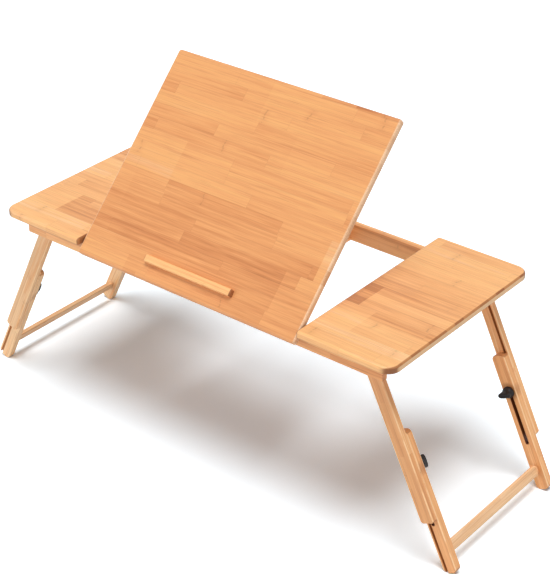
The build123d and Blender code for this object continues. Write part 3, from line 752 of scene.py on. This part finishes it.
def wingKnob(end, side):
    # The surface stands on the CAD knob's seat and points to the table's middle
    low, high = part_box(f"knob_{end}_{side}")
    middle = (low + high) / 2
    inward = 1.0 if end == "front" else -1.0
    seat = low.y if end == "front" else high.y
    outward = 1.0 if side == "right" else -1.0
    heading = math.radians(stance["legSplay"] + knobLook["turns"][end])
    alongDirection = np.array([outward * math.sin(heading), 0.0, -math.cos(heading)])
    acrossDirection = np.array([outward * math.cos(heading), 0.0, math.sin(heading)])
    alongWing, acrossWing, level = knobSurface(knobLook)
    grid = (np.array([middle.x, seat, middle.z])
            + alongWing[..., None] * alongDirection
            + acrossWing[..., None] * acrossDirection
            + level[..., None] * np.array([0.0, inward, 0.0]))
    if np.dot(np.cross(alongDirection, acrossDirection), (0.0, inward, 0.0)) < 0:
        grid = grid[:, ::-1]
    knob = meshFrom(f"wing_knob_{end}_{side}", grid)
    knob.data.shade_smooth()
    knob.data.materials.append(knobPlastic)
    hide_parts(f"knob_{end}_{side}")
    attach(knob, f"knob_{end}_{side}")


for side in ("left", "right"):
    for end in ("front", "back"):
        wingKnob(end, side)
print("wing knobs done")

# Floor and light
stageLook = {
    "floorHalf": 9.0,
    "ambient": 0.14,
    "floorWhite": (1.23, 1.35, 1.43),
    "floorBounce": 0.80,
}


def whenSeen(recipe):
    # 1 for what the camera sees, straight, in a gloss or through a clear piece
    rays = recipe.node("ShaderNodeLightPath", {}, {}).outputs
    seen = Wire(recipe, rays["Is Camera Ray"])
    for name in ("Is Glossy Ray", "Is Transmission Ray"):
        seen = seen.atLeast(Wire(recipe, rays[name]))
    return seen


def floorFinish(look):
    # Seen straight, the floor is above white, so that its light shadow goes out; what it throws
    # back on the table is a plain white's light
    recipe = Recipe(bpy.data.materials.new("floorWhite"))
    bounce = look["floorBounce"]
    colours = [(bounce, bounce, bounce, 1.0), (*look["floorWhite"], 1.0)]
    plain, bright = (recipe.node("ShaderNodeBsdfDiffuse", {}, {"Color": colour}).outputs[0]
                     for colour in colours)
    values = {0: whenSeen(recipe), 1: plain, 2: bright}
    return recipe.finish(recipe.node("ShaderNodeMixShader", {}, values).outputs[0])


half = stageLook["floorHalf"]
floorMesh = bpy.data.meshes.new("floor")
corners = np.array([[-half, -half, 0], [half, -half, 0], [half, half, 0], [-half, half, 0]])
floorMesh.from_pydata(corners.tolist(), [], [[0, 1, 2, 3]])
floorObject = bpy.data.objects.new("floor", floorMesh)
bpy.context.scene.collection.objects.link(floorObject)
floorMesh.materials.append(floorFinish(stageLook))

world = bpy.data.worlds.new("studio")
bpy.context.scene.world = world
air = Recipe(world)
strength = stageLook["ambient"] + (1.0 - stageLook["ambient"]) * whenSeen(air)
sky = air.node("ShaderNodeBackground", {}, {"Color": (1, 1, 1, 1), "Strength": strength}).outputs[0]
air.node("ShaderNodeOutputWorld", {}, {"Surface": sky})

# Wide soft lamps: their spread in degrees, their strength and the way their light comes from
lamps = [
    {"name": "overhead", "spread": 32.0, "strength": 2.42, "from": (0.10, -0.13, 1.0)},
    {"name": "rightSide", "spread": 50.0, "strength": 0.64, "from": (1.0, -0.25, 0.20)},
    {"name": "front", "spread": 60.0, "strength": 1.50, "from": (-0.55, -1.0, 0.14)},
]


def aimed(item, place, aim, roll=0.0):
    # Turns a lamp or the camera from its place towards a point
    way = Vector(aim) - Vector(place)
    turned = way.to_track_quat("-Z", "Y").to_matrix() @ Matrix.Rotation(math.radians(roll), 3, "Z")
    item.matrix_world = Matrix.Translation(Vector(place)) @ turned.to_4x4()


for lamp in lamps:
    light = bpy.data.lights.new(lamp["name"], "SUN")
    light.angle = math.radians(lamp["spread"])
    light.energy = lamp["strength"]
    item = bpy.data.objects.new(lamp["name"], light)
    bpy.context.scene.collection.objects.link(item)
    aimed(item, lamp["from"], (0.0, 0.0, 0.0))

lens = bpy.data.cameras.new("camera")
lens.sensor_fit = "HORIZONTAL"
lens.sensor_width = viewpoint["sensor"]
lens.lens = viewpoint["focalPixels"] / viewpoint["pictureWidth"] * viewpoint["sensor"]
camera = bpy.data.objects.new("camera", lens)
bpy.context.scene.collection.objects.link(camera)
aimed(camera, viewpoint["place"], viewpoint["target"], viewpoint["roll"])
bpy.context.scene.camera = camera
bpy.context.scene.view_settings.view_transform = "Standard"
print("stage done")
